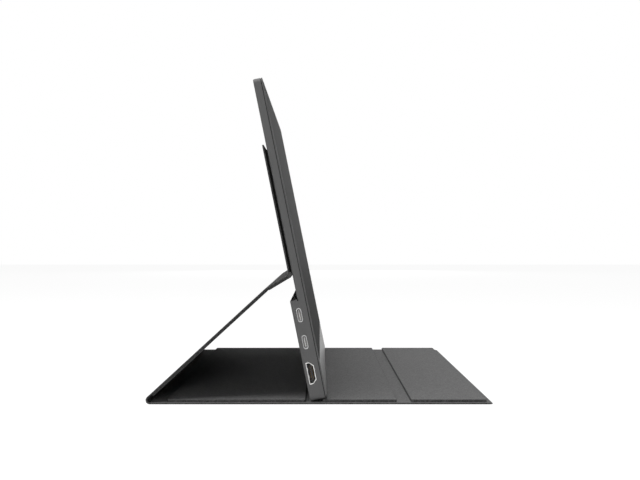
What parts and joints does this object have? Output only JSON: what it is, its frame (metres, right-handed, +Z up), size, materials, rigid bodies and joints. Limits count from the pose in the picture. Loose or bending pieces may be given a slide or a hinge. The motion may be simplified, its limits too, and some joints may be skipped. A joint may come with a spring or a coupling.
{
  "type": "portable monitor with cover",
  "caption": "Slim portable monitor standing in a groove of its cloth-covered folding magnetic cover, with video ports on one side and keys on the other.",
  "frame": {"origin": "on the table, under the middle of the part's box", "axes": "+X from the foot of the stand towards the front flap, the way the screen faces; +Y along the width, away from the ports; +Z up"},
  "size_m": [0.2352, 0.357, 0.2215],
  "materials": {
    "cloth": "woven grey cloth on a thin backing",
    "lining": "fine grey lining",
    "fibreboard": "pressed fibreboard",
    "magnet": "nickel-plated magnet",
    "housing": "fine matt grey plastic",
    "chin": "satin grey plastic",
    "screen": "anti-glare film",
    "display_glass": "display glass",
    "diffuser": "milky plastic",
    "light_strip": "strip of small lamps",
    "tray_metal": "bare pressed sheet",
    "steel": "plated steel",
    "connector_metal": "plated connector shell",
    "gold_plate": "plated contacts on plastic",
    "circuit_board": "green solder mask",
    "flat_cable": "polyimide film",
    "black_plastic": "moulded black plastic",
    "foam_tape": "foam tape",
    "keys": "fine matt grey plastic"
  },
  "bodies": {
    "base": {"base_cloth": "cloth", "panel_a_board": "fibreboard", "panel_a_liner": "lining", "panel_b_board": "fibreboard", "panel_b_liner": "lining", "foot_bend": "cloth", "flap_bend": "cloth"},
    "flap": {"flap_cloth": "cloth", "flap_board": "fibreboard", "flap_liner": "lining"},
    "strut": {"strut_cloth": "cloth", "strut_board": "fibreboard", "strut_liner": "lining", "knee_bend": "cloth"},
    "strip": {"strip_cloth": "cloth", "strip_board": "fibreboard", "strip_liner": "lining", "shoulder_bend": "cloth"},
    "plate": {"plate_cloth": "cloth", "plate_board": "fibreboard", "plate_liner": "lining", "plate_magnets": "magnet"},
    "monitor": {"rear_shell": "housing", "front_frame": "housing", "chin_cover": "chin", "screen_film": "screen", "display_glass": "display_glass", "diffuser_sheets": "diffuser", "light_guide": "diffuser", "light_strip": "light_strip", "display_tray": "tray_metal", "tray_tapes": "foam_tape", "display_board": "circuit_board", "display_ribbon": "flat_cable", "main_board": "circuit_board", "board_screws": "steel", "shield_can": "steel", "keeper_plates": "steel", "usb_c_shells": "connector_metal", "usb_c_tongues": "black_plastic", "hdmi_shell": "connector_metal", "hdmi_tongue": "gold_plate", "audio_jack": "black_plastic", "speakers": "black_plastic", "speaker_gaskets": "foam_tape", "key_board": "circuit_board", "power_switch": "black_plastic", "menu_switches": "black_plastic", "rocker_pin": "steel", "status_light": "diffuser"},
    "power_button": {"power_button": "keys"},
    "menu_rocker": {"menu_rocker": "keys"}
  },
  "joints": [
    {"name": "stand_fold", "type": "hinge", "parent": "base", "child": "strut", "pos_m": [-0.11481, 0, 0.0028], "axis": [0, -1, 0], "range_deg": [0, 137.45], "deforming": ["foot_bend"]},
    {"name": "strip_fold", "type": "hinge", "parent": "strut", "child": "strip", "pos_m": [-0.03551, 0, 0.07613], "axis": [0, -1, 0], "range_deg": [-6.82, 0], "deforming": ["knee_bend"]},
    {"name": "plate_fold", "type": "hinge", "parent": "strip", "child": "plate", "pos_m": [-0.02104, 0, 0.08757], "axis": [0, -1, 0], "range_deg": [-52.17, 0], "deforming": ["shoulder_bend"]},
    {"name": "flap_fold", "type": "hinge", "parent": "base", "child": "flap", "pos_m": [0.05731, 0, 0.0011], "axis": [0, -1, 0], "range_deg": [0, 130], "deforming": ["flap_bend"]},
    {"name": "monitor_pull_off", "type": "slide", "parent": "plate", "child": "monitor", "axis": [0.7071, 0, 0.7071], "range_m": [0, 0.12]},
    {"name": "power_button_press", "type": "slide", "parent": "monitor", "child": "power_button", "axis": [0, -1, 0], "range_m": [0, 0.0004], "stiffness_N_per_m": 500, "springref_m": -0.001},
    {"name": "menu_rocker_tilt", "type": "hinge", "parent": "monitor", "child": "menu_rocker", "pos_m": [-0.00913, 0.1752, 0.03882], "axis": [0.9799, 0, 0.1994], "range_deg": [-4, 4], "stiffness_Nm_per_rad": 0.03}
  ],
  "couplings": [
    {"joint": "strip_fold", "follows": "stand_fold", "ratio": -0.049473},
    {"joint": "plate_fold", "follows": "stand_fold", "ratio": -0.37941}
  ]
}
